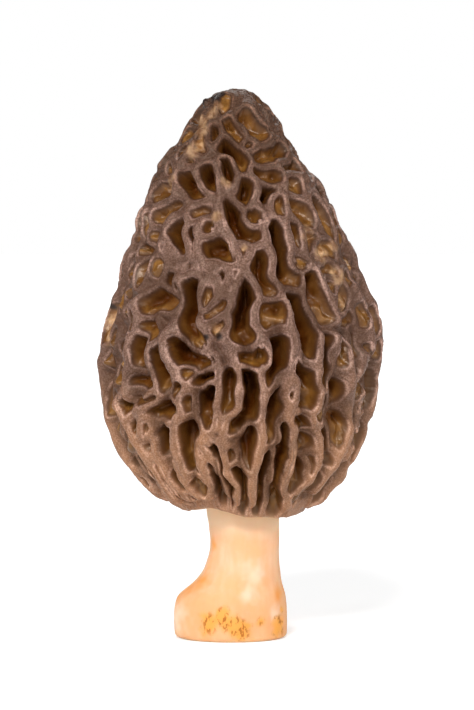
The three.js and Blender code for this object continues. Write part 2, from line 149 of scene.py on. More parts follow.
# Pits of the front, from the tip down: (half width, depth, (azimuth, height), (azimuth, height), ...)
FRONT_PITS = [
    (0.4, 0.7, (-18, 98), (-12, 96)),
    (1.1, 1.8, (19, 95), (23, 93.5), (33, 92), (39, 91.5)),
    (1.1, 2, (-2, 94), (5, 92.5), (8, 92)),
    (0.5, 2, (-16, 93), (-17, 91)),
    (0.8, 1.2, (-57, 92), (-54, 91.5)),
    (1, 1, (-29, 90.5), (-28, 89.5)),
    (1.2, 3, (-5, 90), (4, 88), (9, 86)),
    (0.5, 1, (20, 90), (20, 89.5)),
    (1.35, 2.2, (26, 88), (35, 88), (49, 89)),
    (0.8, 1.2, (-46, 89), (-45, 88)),
    (0.5, 2, (-36, 87), (-34, 87)),
    (0.8, 3.5, (-4, 87), (-2, 84.5), (-1, 83)),
    (0.8, 1.8, (45, 85.5), (58, 86)),
    (0.4, 0.8, (-54, 86), (-54, 85.5)),
    (0.8, 1.8, (18, 85), (25, 84), (33, 84.5)),
    (1.2, 2.8, (-20, 84.5), (-18, 82.5)),
    (1, 2.8, (-37, 84), (-30, 82.5), (-23, 80.5)),
    (1.2, 1.6, (46, 83.5), (44, 82)),
    (1.6, 3, (6, 82.5), (6, 81)),
    (1.2, 1.6, (-65, 81), (-52, 82)),
    (1, 3.8, (22, 81.5), (18, 79.5), (17, 78)),
    (0.9, 1.6, (26, 79.5), (25, 78.5)),
    (1.1, 1.8, (40, 79), (45, 76.5)),
    (1.2, 3.2, (-2, 79), (-2, 76.5), (0, 75), (2, 74), (8, 73.5)),
    (0.9, 2, (-21, 79), (-27, 77.5)),
    (1.15, 1.8, (-56, 77), (-46, 77.5), (-40, 78)),
    (1.1, 2.2, (16, 78), (9, 77)),
    (1.8, 3.2, (-37, 76), (-37, 73.5), (-36, 72.5), (-32, 71)),
    (1.1, 3.6, (21, 75.5), (21, 71), (20, 69), (19, 67), (26, 66)),
    (0.75, 2, (-26, 75), (-24, 70.5)),
    (0.9, 1.6, (-18, 75), (-18, 74.5)),
    (1.1, 1.8, (32, 74.5), (34, 72)),
    (0.7, 1.2, (-56, 74), (-56, 73.5)),
    (1.1, 1.8, (43, 73.5), (40, 71.5)),
    (0.3, 1.2, (89, 73.5), (88, 72)),
    (0.55, 2, (-42, 72), (-34, 70.5)),
    (0.35, 1.5, (-65, 71.5), (-57, 71.5)),
    (1.7, 2.6, (-16, 71.5), (-10, 71), (-8, 69.5)),
    (0.35, 0.8, (2, 71.5), (3, 70.5)),
    (1.2, 1.2, (48, 71), (55, 71)),
    (1.2, 2.8, (9, 70), (9, 68), (10, 65.5), (12, 64.5)),
    (0.3, 1.2, (42, 70), (44, 69)),
    (1, 1.2, (31, 69.5), (31, 69)),
    (0.7, 3.5, (-32, 69), (-26, 69), (-23, 69)),
    (0.5, 1.6, (-56, 68.5), (-58, 67.5), (-59, 65.5)),
    (0.7, 0.8, (-47, 68.5), (-47, 68)),
    (1.3, 1.5, (45, 67.5), (51, 68)),
    (1.1, 3, (-10, 68), (-9, 66.5), (-10, 65)),
    (0.8, 1.2, (-71, 67), (-70, 66.5)),
    (0.6, 1.4, (-4, 67), (-4, 66.5)),
    (0.95, 2.4, (36, 66.5), (36, 63), (39, 60.5), (40, 59.5)),
    (0.4, 1.2, (78, 66.5), (76, 65)),
    (0.7, 1.2, (63, 66), (62, 65.5)),
    (0.55, 2.4, (-37, 66), (-37, 65.5)),
    (0.8, 1.1, (48, 65.5), (47, 65)),
    (0.5, 2.4, (-34, 65), (-34, 64.5)),
    (1, 2.4, (-12, 65), (-15, 63.5), (-17, 62.5)),
    (0.5, 1.2, (-6, 65), (-6, 64.5)),
    (1.3, 3.4, (-26, 65), (-24, 62.5), (-24, 59.5), (-22, 57.5), (-18, 55)),
    (1.5, 4, (2, 64.5), (0, 62), (-1, 59.5), (-2, 57.5), (2, 55.5)),
    (0.45, 1, (-66, 64.5), (-69, 63)),
    (0.2, 1, (74, 64.5), (74, 62)),
    (1.3, 1.6, (56, 63), (54, 61)),
    (1.5, 2.6, (-48, 61.5), (-43, 62.5), (-36, 62.5)),
    (1.3, 4, (24, 62.5), (26, 59.5), (29, 57), (30, 54.5), (30, 52)),
    (0.8, 1.8, (-9, 62), (-12, 60.5), (-15, 59.5)),
    (0.7, 1.4, (-66, 60.5), (-62, 60.5)),
    (1.7, 1.8, (11, 59.5), (16, 60)),
    (0.3, 1.6, (-56, 59.5), (-54, 57)),
    (0.45, 1.4, (84, 59.5), (88, 57.5), (80, 55)),
    (1.6, 1.3, (-83, 59), (-86, 55.5)),
    (1, 1.8, (52, 58), (60, 58.5)),
    (0.9, 2, (-11, 57.5), (-8, 58)),
    (1.1, 1.8, (-46, 57.5), (-42, 56)),
    (0.2, 1, (51, 56.5), (54, 55.5)),
    (0.9, 2, (61, 56), (60, 53.5), (59, 52)),
    (1.2, 3.4, (16, 55), (16, 52.5), (16, 50.5), (14, 49), (14, 48)),
    (1.5, 2.4, (-47, 54.5), (-46, 52.5), (-46, 50.5)),
    (1.1, 3.4, (40, 54.5), (38, 52), (38, 49.5), (38, 48)),
    (1.2, 3.2, (-28, 54), (-24, 52), (-18, 51.5), (-14, 51)),
    (0.8, 1.8, (-61, 53.5), (-59, 50.5)),
    (1, 1.4, (47, 53.5), (47, 51.5)),
    (1, 2.8, (-38, 53), (-37, 51), (-34, 49.5), (-31, 47)),
    (1.1, 2.2, (2, 52.5), (6, 51.5), (9, 52.5)),
    (1.8, 2.8, (27, 50), (30, 48), (30, 44)),
    (0.9, 2.2, (-22, 49.5), (-21, 49.5)),
    (0.6, 1.2, (58, 49.5), (59, 49)),
    (1.25, 4, (4, 49), (6, 47), (6, 42), (2, 41), (-1, 39.5)),
    (0.7, 1.6, (-64, 49), (-63, 47)),
    (1.2, 4, (-15, 48), (-12, 48.5)),
    (1.2, 2.8, (-4, 48.5), (-3, 46), (-4, 43.5)),
    (0.8, 2.4, (21, 48), (22, 45.5)),
    (1.1, 3.8, (20, 48), (17, 46), (16, 44), (15, 41.5), (15, 39), (16, 37.5)),
    (1.2, 1.4, (62, 47.5), (62, 45.5)),
    (1.5, 2.8, (-47, 47), (-40, 47)),
    (1.2, 2.8, (46, 46.5), (47, 44.5), (48, 42.5)),
    (0.7, 2, (-26, 46.5), (-27, 45)),
    (1.3, 4, (-11, 46), (-13, 43.5), (-13, 41)),
    (0.7, 2.2, (-48, 44.5), (-42, 44), (-38, 44.5)),
    (0.7, 1.6, (-22, 44), (-22, 42.5)),
    (1.2, 1.8, (40, 43.5), (38, 41)),
    (1.3, 2.8, (-38, 41.5), (-33, 42), (-28, 43)),
    (0.9, 2, (-56, 43), (-51, 42)),
    (0.8, 1.8, (-49, 41), (-51, 38.5)),
    (0.35, 0.8, (-62, 41), (-61, 39)),
    (1.3, 2.6, (28, 40.5), (30, 39)),
    (1.3, 2.2, (50, 40.5), (54, 38.5), (54, 36.5)),
    (0.3, 0.8, (-42, 40), (-45, 38.5), (-46, 37)),
    (0.6, 1.4, (-73, 39), (-74, 37.5)),
    (0.95, 3.4, (21, 39), (22, 37), (23, 34.5), (22, 32), (21, 29), (22, 26.5), (25, 23)),
    (1.2, 3, (-22, 39), (-22, 37), (-24, 34.5), (-24, 32)),
    (1, 3, (-34, 38.5), (-36, 37), (-36, 35), (-36, 33)),
    (0.9, 2.4, (42, 38.5), (45, 36), (47, 33.5), (51, 31.5)),
    (0.8, 3, (6, 38), (5, 36), (4, 34.5), (4, 32)),
    (0.3, 0.9, (-60, 37.5), (-59, 35), (-55, 33), (-54, 30.5), (-54, 28)),
    (1.1, 1.8, (32, 36.5), (36, 34.5)),
    (0.6, 2.6, (-14, 36), (-11, 35), (-10, 32), (-10, 30), (-8, 28.5), (-6, 27.5), (-8, 25), (-8, 23)),
    (0.6, 1.2, (-46, 36), (-48, 33.5)),
    (0.6, 1.6, (-17, 35.5), (-17, 35)),
    (0.7, 1.4, (-4, 34), (-4, 33)),
    (0.35, 1.3, (38, 34), (40, 32.5), (41, 30.5)),
    (0.9, 3, (14, 33), (14, 30.5), (12, 27.5), (12, 23)),
    (0.65, 3.2, (-15, 32.5), (-14, 31), (-15, 28), (-14, 25.5), (-14, 23)),
    (0.35, 1, (-47, 33), (-46, 31), (-45, 28), (-46, 26), (-48, 23.6)),
    (0.35, 0.9, (61, 33), (62, 31), (62, 28.5), (62, 26.5)),
    (0.7, 1.8, (-63, 32), (-61, 30.5)),
    (0.8, 2, (-36, 31.5), (-36, 30), (-35, 28)),
    (1.2, 2.2, (35, 31), (34, 29), (32, 27.5)),
    (0.9, 2.8, (-3, 31), (0, 29.5), (1, 27.5), (-1, 23)),
    (0.7, 1.5, (39, 25), (42, 26), (46, 27), (49, 28.5), (49, 30)),
    (1, 1.6, (-28, 28.5), (-23, 28.5), (-25, 27)),
    (0.45, 1.3, (-34, 26.5), (-32, 25.5)),
]

# Torn, pale flesh and withered, blackish bits of the cap, (azimuth, height, size)
PALE_SPOTS = [
    (-27, 95.4, 1.3), (-38, 94, 1.1), (-24, 96.6, 0.9), (-31, 92.3, 1.6), (-29, 90, 1.6), (-34, 88.3, 1.5),
    (-6, 83, 1), (-13, 77, 1.1), (-50, 83, 1.5), (-10, 57.5, 1.6), (-84, 58, 2.6), (-82, 55, 2),
    (2, 71.5, 0.8), (42, 74, 2.2), (48, 70.5, 2.4), (54, 66.5, 2.2), (55, 62, 1.7), (62, 72, 1.6),
    (38, 79, 1.3), (-150, 66, 2), (128, 81, 1.8), (166, 47, 2.2), (-120, 35, 1.8),
]
BLACK_SPOTS = [
    (-40, 98.4, 1.2), (-36, 97.4, 0.9), (-48, 98, 1), (-60, 97, 0.8), (-9, 56, 0.8), (-14, 55.8, 0.6),
    (-88, 60.5, 0.7), (-74, 92, 0.8), (80, 83, 0.5),
]

# Ribs that stand proud of the other ridges, each a line of (azimuth, height)
FRONT_RIBS = [
    [
        (-56, 61), (-52, 58.5), (-52, 54.5), (-53, 51), (-54, 46.5), (-58, 43), (-56, 40.5), (-53, 38),
        (-51, 34.5), (-50, 31.5), (-51, 28), (-52, 25.5),
    ],
    [(-39, 54), (-40, 51.5), (-38, 49), (-36, 46)],
    [
        (-36, 45.5), (-41, 43.5), (-45, 42), (-46, 39), (-45, 36), (-45, 33), (-45, 30), (-45, 27.5),
        (-49, 24.5),
    ],
    [
        (-29, 57), (-33, 55), (-30, 52), (-26, 50), (-22, 47), (-24, 44.5), (-26, 42), (-29, 39),
        (-31, 35.5), (-32, 32), (-34, 28), (-33, 25.5),
    ],
    [
        (-18, 57.5), (-16, 55), (-13, 52.5), (-10, 50), (-9, 46.5), (-8, 43), (-10, 39.5), (-14, 37),
        (-14, 35.5), (-18, 32), (-21, 28.5), (-23, 26),
    ],
    [
        (-5, 55), (-2, 52.5), (0, 49.5), (0, 46.5), (0, 43.5), (-4, 41), (-6, 38.5), (-7, 36), (-7, 33),
        (-6, 30), (-5, 27.5), (-4, 24.5),
    ],
    [
        (6, 62), (5, 59), (8, 56), (9, 53.5), (9, 50.5), (9, 48), (10, 44.5), (11, 41), (12, 37.5),
        (10, 35.5), (9, 33), (7, 30), (6, 27), (6, 24),
    ],
    [
        (20, 62), (21, 58.5), (22, 55), (23, 51.5), (24, 48), (24, 44.5), (24, 41.5), (24, 39.5),
        (25, 37), (26, 34.5), (25, 32), (24, 29), (30, 26), (36, 24),
    ],
    [
        (34, 55), (33, 51.5), (34, 48), (37, 45.5), (36, 42.5), (37, 40), (40, 37), (44, 34),
        (44, 31.5), (44, 28.5), (38, 27),
    ],
    [
        (44, 55.5), (49, 53), (52, 49.5), (54, 46), (58, 42), (60, 38.5), (58, 35.5), (57, 32.5),
        (57, 29.5), (56, 27),
    ],
    [
        (70, 63.5), (72, 59.5), (72, 56), (72, 53), (64, 50), (60, 46.5), (66, 43.5), (69, 40),
        (68, 37), (68, 33.5),
    ],
    [(-10, 86.5), (-11, 83), (-10, 79.5), (-8, 76.5), (-4, 73.5), (-3, 70.5)],
    [(11, 84), (16, 83), (16, 81), (9, 79), (11, 77), (14, 75), (15, 72.5), (15, 69.5)],
    [
        (25, 77), (27, 74.5), (26, 71.5), (26, 69.5), (34, 68.5), (40, 67.5), (40, 64.5), (44, 62),
        (46, 58.5),
    ],
    [(-22, 70.5), (-21, 74), (-19, 75.5), (-12, 74.5), (-7, 73), (-4, 70), (-7, 67.5)],
    [(-30, 66), (-24, 67), (-18, 68.5)],
    [(-88, 76.5), (-60, 78.5), (-45, 80.5)],
]
# Those of the sides and back sway around these azimuths, between these heights
BACK_RIBS = [-122, -106, 104, 119, 133, 148, 162, 177, 192, 207, 222]
BACK_RIB_ENDS = (24, 74)
LIMB_RIBS = [-88, 88]      # these two run on through the pits
BACK_RIB_SWAY = 3.5        # degrees to each side
LIMB_RIB_SWAY = 1.0
RIB_STEP = 3.0             # the height between their points
RIB_WAVE = 8.0             # the height over which their sway turns by one radian
RIB_TURN = 2.1             # by which it turns from one azimuth to the next, in radians a degree
RIB_HALF = 0.6             # half of a rib's width
RIB_WIDENING = 0.6         # it is wider by this share low on the cap,
RIB_WIDE_FROM = (48, 30)   # which is below these heights
RIB_BLEND = 0.3            # it meets the pits in a corner rounded over this far
RIB_WARP = 0.2             # its edges wander by this much
RIB_REACH = (0.8, 3.2)     # the ridges sink over these distances from a rib
RIB_STANDING = 1.9         # and this far, low on the cap
HIGH_STANDING = 0.3        # share of that which is left high on the cap
STANDING_FADE = (72, 55)   # it changes over these heights,
STANDING_TIP = (97, 90)    # comes to an end over these near the tip
STANDING_RIM = (22.5, 26)  # and over these near the rim

# The sides and back grow their pits in uneven rows: (height, row length along the cap)
BACK_ROWS = [
    (28, 7), (36, 8.5), (44.5, 8.5), (53, 8.5), (61, 7.5), (68.5, 7), (75.5, 6.5), (82, 6), (87.5, 5),
    (92, 4.5), (96, 3.5), (24.8, 4.5),
]
BACK_FROM = 60             # the rows begin at this azimuth on both sides
CLEARANCE = 1.3            # least ridge between a row's pit and one that is already there
STRAY = 0.5                # pits stray along their row by this share of their spacing, all told
STAGGER = 0.45             # and across it by this share of its length
SHORTEST = 0.3             # their half length is at least this share of their kind's
STRETCH = 0.5              # and up to this much more
BOW = 0.6                  # and bow sideways by this share of their lean
HIGHEST = 98.5             # no pit of a row reaches above this height
LOWEST = 23.4              # or below this one
# Their two kinds, where a pit's half width and depth are a least value and a range
LARGE = dict(pitch=5.2, length=0.5, lean=4, half_width=(0.75, 0.9), depth=(1.6, 2.4), seed=100)
SMALL = dict(pitch=2.2, length=0.2, lean=2, half_width=(0.5, 0.5), depth=(0.8, 0.8), seed=5000)

# Edges of the spots and marks
RAGGEDNESS = 0.3           # share of its size by which a spot's edge wanders
SPOT_END = 1.2             # a spot ends at this share of its size

# How finely things are worked out
CURVE_STEPS = 14           # between two points of an outline
MAP_AROUND = 960           # columns of the relief map, around the cap
MAP_ALONG = 540            # rows of the relief map, along its outline
SKIN_SPACING = 0.35        # between the points of the cap's skin
SKIN_FOCUS = 0.42          # share by which those points crowd towards the front
SKIN_START = 0.3           # from the tip to the skin's first ring
LEAST_SIDES = 12           # of a ring
TIP_RISE = 0.05            # of the tip above its first ring
PIT_STEP = 2.0             # longest step along a pit's line
PIT_REACH = 25             # pits whose middles are further apart than this can't meet
NEAR_PIT = 8               # a pit is looked for this far beyond its ends
FAR = 30.0                 # the distance where no pit is found
NOISE_CELLS = 64           # the noise repeats after so many of its lumps
NOISE_SHIFT = 0.37         # share of a lump by which each seed shifts it
CHANCE_STEP = 12.9898      # the repeatable chance is a fast sine wave's fraction
CHANCE_SCALE = 43758.5453

# The stem's skin
STEM_SIDES = 220
STEM_ROWS = 110
STEM_END_RINGS = 14        # on its cut end
# Ribs and lumps of the stem, (amount, size, seed, height scale): a small scale draws them out
STEM_RELIEF = [(0.1, 1.5, 21, 0.16), (0.22, 3.6, 22, 0.3), (0.3, 5.5, 23, 1), (0.04, 1.2, 24, 1)]
STEM_SMOOTH_FOOT = (0, 1.5)    # they fade away over these heights near the cut end
STEM_SMOOTH_TOP = (26, 22)     # and over these inside the socket
STEM_FLARE = 0.42              # the stem widens by this much inside the socket,
STEM_FLARE_FROM = (23.4, 26)   # which is above these heights
STEM_CUT_EDGE = (0.25, 0.02)   # the flesh is a cut one below these


# ---- Curves, noise and the cap's envelope ----

def smooth_curve(points, steps):
    """Catmull-Rom curve through the points, with this many steps between each pair."""
    given = np.array(points, float)
    padded = np.vstack([given[:1], given, given[-1:]])
    t = np.linspace(0, 1, steps, endpoint=False)[:, None]
    pieces = []
    for a, b, c, d in zip(padded, padded[1:], padded[2:], padded[3:]):
        bend = (2 * a - 5 * b + 4 * c - d) * t ** 2 + (3 * b - a - 3 * c + d) * t ** 3
        pieces.append(0.5 * (2 * b + (c - a) * t + bend))
    return np.vstack([*pieces, given[-1:]])


def lengths_along(points):
    """The length along a line of points, up to each of them."""
    return np.concatenate([[0], np.cumsum(np.linalg.norm(np.diff(points, axis=0), axis=1))])


def smoothstep(value, low, high):
    """0 at low and 1 at high, with an eased change between them."""
    t = np.clip((value - low) / (high - low), 0, 1)
    return t * t * (3 - 2 * t)


def bell(value, middle, width):
    """1 in the middle, falling to 0 on both sides."""
    return np.exp(-((value - middle) / width) ** 2)


def noise(points, size, seed):
    """Smooth noise from -1 to 1, whose lumps are about size across."""
    count = NOISE_CELLS
    lattice = np.random.RandomState(seed).uniform(-1, 1, (count, count, count))
    place = np.asarray(points, float) / size + NOISE_SHIFT * seed
    cell = np.floor(place).astype(int)
    t = place - cell
    t = t * t * (3 - 2 * t)
    total = np.zeros(place.shape[:-1])
    for corner in np.ndindex(2, 2, 2):
        index = tuple(((cell + corner) % count)[..., axis] for axis in range(3))
        weight = np.prod(np.where(corner, t, 1 - t), axis=-1)
        total += weight * lattice[index]
    return total


def chance(seed):
    """A repeatable number from 0 to 1."""
    value = math.sin(seed * CHANCE_STEP) * CHANCE_SCALE
    return value - math.floor(value)


CAP_CURVE = smooth_curve(CAP_OUTLINE + CAP_UNDERSIDE, CURVE_STEPS)
CAP_LENGTHS = lengths_along(CAP_CURVE)
CAP_SLOPES = np.gradient(CAP_CURVE, CAP_LENGTHS, axis=0)
SKIN_LENGTH = CAP_LENGTHS[-1]
RIM_LENGTH = CAP_LENGTHS[-1 - CURVE_STEPS * len(CAP_UNDERSIDE)]
RELIEF_END = (RIM_LENGTH + 2.5, RIM_LENGTH - 0.5)      # the relief ends over these lengths,
OUTSIDE_END = (RIM_LENGTH + 2.5, RIM_LENGTH + 0.5)     # the outside's colours end over these,
CURL_START = (RIM_LENGTH - 6, RIM_LENGTH)              # and the rim's curl begins over these
OUTER_CURVE = smooth_curve(CAP_OUTLINE, CURVE_STEPS)[::-1]
MIDDLE_CURVE = smooth_curve(CAP_MIDDLE, CURVE_STEPS)[::-1]


def radius_at(height):
    """The cap's radius at this height."""
    return np.interp(height, OUTER_CURVE[:, 1], OUTER_CURVE[:, 0])


def middle_at(height):
    """How far the cap's middle lies to the side at this height."""
    return np.interp(height, MIDDLE_CURVE[:, 1], MIDDLE_CURVE[:, 0])


def outline_at(length):
    """The radius and height of the cap's outline at this length."""
    return [np.interp(length, CAP_LENGTHS, CAP_CURVE[:, axis]) for axis in (0, 1)]


def swelling(azimuth, radius, height):
    """How far the swellings push the cap's outline out."""
    total = 0
    for to_azimuth, to_height, size, amount in SWELLINGS:
        around = 2 * radius * np.sin(np.radians(azimuth - to_azimuth) / 2)
        total = total + amount * np.exp(-(around ** 2 + (height - to_height) ** 2) / size ** 2)
    return total


def envelope(azimuth, radius, height):
    """Points of the cap's smooth envelope."""
    angle = np.radians(azimuth)
    swollen = radius + swelling(azimuth, radius, height) * np.minimum(radius, 1)
    x = middle_at(height) + swollen * np.sin(angle)
    return np.stack([x, -DEPTH_SHARE * swollen * np.cos(angle), height + 0 * x], axis=-1)


# ---- Pits ----

def make_pit(half_width, depth, *places):
    """A pit: a line along its floor, in short steps that follow the cap's curve."""
    places = np.array(places, float)
    corners = envelope(places[:, 0], radius_at(places[:, 1]), places[:, 1])
    line = [places[:1]]
    for i, gap in enumerate(np.linalg.norm(np.diff(corners, axis=0), axis=1)):
        steps = max(1, math.ceil(gap / PIT_STEP))
        t = np.arange(1, steps + 1)[:, None] / steps
        line.append(places[i] + (places[i + 1] - places[i]) * t)
    line = np.vstack(line)
    floor = envelope(line[:, 0], radius_at(line[:, 1]), line[:, 1])
    return dict(half_width=half_width, depth=depth, line=floor)


def nearest_on_line(points, line):
    """For each point, its distance to a line of points and the nearest place on that line."""
    best = np.full(len(points), np.inf)
    place = np.zeros_like(points)
    for a, b in zip(line, line[1:]):
        along = b - a
        t = np.clip((points - a) @ along / (along @ along), 0, 1)
        on_line = a + t[:, None] * along
        gap = ((points - on_line) ** 2).sum(axis=1)
        closer = gap < best
        best[closer] = gap[closer]
        place[closer] = on_line[closer]
    return np.sqrt(best), place


def row_pit(row_height, row_length, kind, seed, i, count):
    """One pit of the sides and back, the i-th of those that go around a row."""
    turned, raised, stretched, leaned, bowed, widened, deepened = [chance(seed + k / 10) for k in range(7)]
    degrees_per_mm = 180 / (math.pi * radius_at(row_height))
    azimuth = (i + 0.5 + STRAY * (turned - 0.5)) * 360 / count - 180
    height = row_height + STAGGER * row_length * (raised - 0.5)
    half_length = row_length * kind["length"] * (SHORTEST + STRETCH * stretched)
    lean = kind["lean"] * (leaned - 0.5) * degrees_per_mm
    bow = BOW * kind["lean"] * (bowed - 0.5) * degrees_per_mm
    pit = make_pit(
        kind["half_width"][0] + kind["half_width"][1] * widened,
        kind["depth"][0] + kind["depth"][1] * deepened,
        (azimuth + lean, min(height + half_length, HIGHEST)),
        (azimuth + bow, height),
        (azimuth - lean, max(height - half_length, LOWEST)),
    )
    return azimuth, pit


def is_crowded(pit, others):
    """Whether a pit comes too close to any of the others."""
    for other in others:
        if np.linalg.norm(other["line"].mean(axis=0) - pit["line"].mean(axis=0)) > PIT_REACH:
            continue
        room = other["half_width"] + pit["half_width"] + CLEARANCE
        if nearest_on_line(pit["line"], other["line"])[0].min() < room:
            return True
    return False


def grow_pits(kind, taken):
    """The pits of the sides and back that have room beside those already taken."""
    grown = []
    for row, (row_height, row_length) in enumerate(BACK_ROWS):
        count = round(2 * math.pi * radius_at(row_height) / kind["pitch"])
        for i in range(count):
            azimuth, pit = row_pit(row_height, row_length, kind, kind["seed"] + 100 * row + i, i, count)
            others = taken + (grown if kind is SMALL else [])
            if abs(azimuth) > BACK_FROM and not is_crowded(pit, others):
                grown.append(pit)
    return grown


def all_pits():
    """The pits of the front, then the large and the small ones that fit in around the cap."""
    front = [make_pit(*pit) for pit in FRONT_PITS]
    large = front + grow_pits(LARGE, front)
    return large + grow_pits(SMALL, large)


# ---- The cap's relief map: how far its skin lies below the envelope, over azimuth and length ----

def nearest_pits(points, pits):
    """For each point, the gaps to its two nearest pits, facts of the nearest, and the way across."""
    count = len(points)
    first = np.full(count, FAR)
    second = np.full(count, FAR)
    facts = np.zeros((count, 4))
    toward_first = np.zeros((count, 3))
    toward_second = np.zeros((count, 3))
    for number, pit in enumerate(pits):
        middle = pit["line"].mean(axis=0)
        reach = np.linalg.norm(pit["line"] - middle, axis=1).max() + NEAR_PIT
        near = np.nonzero(np.abs(points[:, 2] - middle[2]) < reach)[0]
        near = near[((points[near] - middle) ** 2).sum(axis=1) < reach ** 2]
        gap, place = nearest_on_line(points[near], pit["line"])
        gap = gap - pit["half_width"]
        closest = gap < first[near]
        new, old = near[closest], near[~closest]
        second[new] = first[new]
        toward_second[new] = toward_first[new]
        first[new] = gap[closest]
        toward_first[new] = place[closest]
        facts[new, :3] = (pit["depth"], pit["half_width"], chance(number + 0.5))
        half_height = np.ptp(pit["line"][:, 2]) / 2 + pit["half_width"]
        facts[new, 3] = np.clip((points[new, 2] - middle[2]) / half_height, -1, 1)
        gap, place = gap[~closest], place[~closest]
        nearer = gap < second[old]
        second[old[nearer]] = gap[nearer]
        toward_second[old[nearer]] = place[nearer]
    return first, second, facts, toward_second - toward_first


def rib_pieces(ribs):
    """Ribs in short pieces, which are worked like pits without a width."""
    return [make_pit(0, 0, upper, lower) for rib in ribs for upper, lower in zip(rib, rib[1:])]


def swaying_ribs(turns, sway):
    """Ribs that sway around these azimuths, by this many degrees to each side."""
    heights = np.arange(*BACK_RIB_ENDS, RIB_STEP)
    ribs = []
    for turn in turns:
        azimuths = turn + sway * np.sin(heights / RIB_WAVE + RIB_TURN * turn)
        ribs.append(list(zip(azimuths, heights)))
    return ribs


def gap_to_ribs(grid, ribs):
    """For each point of a grid, the gap to its nearest rib."""
    return nearest_pits(grid.reshape(-1, 3), rib_pieces(ribs))[0].reshape(grid.shape[:-1])


def spotted(points, centres, sizes, inner=0.5):
    """How deep each point lies in the nearest of some ragged round spots, from 0 to 1."""
    ragged = noise(points, size=0.9, seed=31) + 1.2 * noise(points, size=2.6, seed=32)
    share = np.zeros(points.shape[:-1])
    for centre, size in zip(centres, sizes):
        gap = np.linalg.norm(points - centre, axis=-1) / size + RAGGEDNESS * ragged
        share = np.maximum(share, smoothstep(gap, SPOT_END, inner))
    return share


def spotted_cap(points, spots):
    """The same for spots of the cap, (azimuth, height, size)."""
    azimuth, height, size = np.array(spots).T
    return spotted(points, envelope(azimuth, radius_at(height), height), size)


def evened(values, rounds):
    """A map's values, evened out over their neighbours."""
    for _ in range(rounds):
        values = (np.roll(values, 1, axis=1) + 2 * values + np.roll(values, -1, axis=1)) / 4
        padded = np.pad(values, ((1, 1), (0, 0)), mode="edge")
        values = (padded[:-2] + 2 * values + padded[2:]) / 4
    return values


def soft_least(a, b, blend):
    """The lesser of two values, with a rounded change between them."""
    share = np.clip(0.5 + 0.5 * (b - a) / blend, 0, 1)
    return b * (1 - share) + a * share - blend * share * (1 - share)


def depth_into_pits(grid, height, first, second, from_rib, from_limb):
    """How far each point lies inside its pit's edge, which is below 0 on the ridges."""
    ridge_half = RIDGE_HALF * (1 + RIDGE_CHANGE * noise(grid, size=5, seed=7))
    upper = smoothstep(height, *UPPER_FROM)
    pit_edge = PIT_EDGE * (1 + UPPER_EDGE * upper + EDGE_CHANGE * noise(grid, size=7, seed=17))
    inside = soft_least((second - first) / 2 - ridge_half, pit_edge - first, EDGE_BLEND)
    rib_half = RIB_HALF * (1 + RIB_WIDENING * smoothstep(height, *RIB_WIDE_FROM))
    inside = soft_least(inside, from_rib - rib_half + smoothstep(first, 0.1, -0.3), RIB_BLEND)
    return soft_least(inside, from_limb - rib_half, RIB_BLEND)


def crest_relief(grid, azimuth, height, inside, from_rib, saddle):
    """How far the crests of the ridges lie below the envelope."""
    standing = RIB_STANDING * (HIGH_STANDING + (1 - HIGH_STANDING) * smoothstep(height, *STANDING_FADE))
    standing *= smoothstep(height, *STANDING_TIP) * smoothstep(height, *STANDING_RIM)
    sunk = smoothstep(from_rib, *RIB_REACH) * standing
    wide = smoothstep(-inside, *WIDE_RIDGE) * smoothstep(from_rib, *CLEAR_OF_RIB)
    folds = np.abs(noise(grid * (1, 1, 0.35), size=2.4, seed=14))
    crest = CREST_LEVEL + sunk + saddle + wide * (VALLEY + VALLEY_FOLDS * folds)
    crest += BROAD_WAVES * noise(grid, size=7.5, seed=12)
    crest += MIDDLING_WAVES * noise(grid, size=3.6, seed=16)
    crest += SMALL_WAVES * noise(grid, size=1.9, seed=11)
    crest -= LIP_RISE * bell(inside, *LIP_PLACE)
    angle = np.radians(azimuth)[None, :] + 0 * height
    turning = [SPOKE_CIRCLE * np.cos(angle), SPOKE_CIRCLE * np.sin(angle)]
    around = np.stack([*turning, SPOKE_WANDER * height + 0 * angle], axis=-1)
    spokes = bell(noise(around, size=1, seed=15), 0, SPOKE_WIDTH) * smoothstep(height, *SPOKE_FADE)
    return crest, SPOKE_DEPTH * spokes


def lip_lean(inside, length, radius, under):
    """How far each lip leans over its pit, along the outline and around the cap."""
    slope_along = np.gradient(inside, length[1], axis=0)
    step_around = np.maximum(radius, 1) * 2 * math.pi / MAP_AROUND
    slope_around = (np.roll(inside, -1, axis=1) - np.roll(inside, 1, axis=1)) / (2 * step_around)
    steepness = np.maximum(np.hypot(slope_along, slope_around), LEAST_STEEPNESS)
    lean = LIP_REACH * bell(inside, *LEAN_PLACE) * under / steepness
    return lean * slope_along, lean * slope_around


